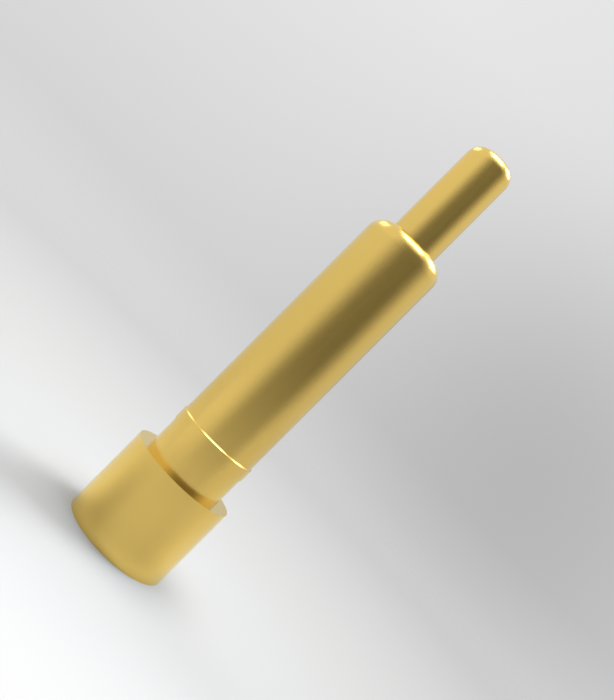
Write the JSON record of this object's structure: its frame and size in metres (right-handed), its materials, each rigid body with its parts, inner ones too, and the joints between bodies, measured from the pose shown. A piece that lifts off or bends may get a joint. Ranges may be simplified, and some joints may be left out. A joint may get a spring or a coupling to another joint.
{
  "type": "pogo pin",
  "caption": "Upright spring-loaded contact pin: a turned barrel with a foot flange and a press-fit ring, holding a sliding plunger with a rounded tip on a coil spring.",
  "frame": {"origin": "centre of the round solder face at the foot of the flange", "axes": "+Z along the pin's axis, from the solder face to the plunger's tip; the pin is round, so X and Y are free"},
  "size_m": [0.002, 0.002, 0.009],
  "materials": {
    "barrel_plating": "satin gold plating over turned brass",
    "plunger_plating": "satin gold plating over turned brass",
    "spring_wire": "drawn stainless spring wire"
  },
  "bodies": {
    "barrel": {"barrel": "barrel_plating", "spring": "spring_wire"},
    "plunger": {"plunger": "plunger_plating"}
  },
  "joints": [
    {"name": "plunger_travel", "type": "slide", "parent": "barrel", "child": "plunger", "axis": [0, 0, -1], "range_m": [0, 0.0015], "stiffness_N_per_m": 200, "deforming": ["spring"]}
  ]
}
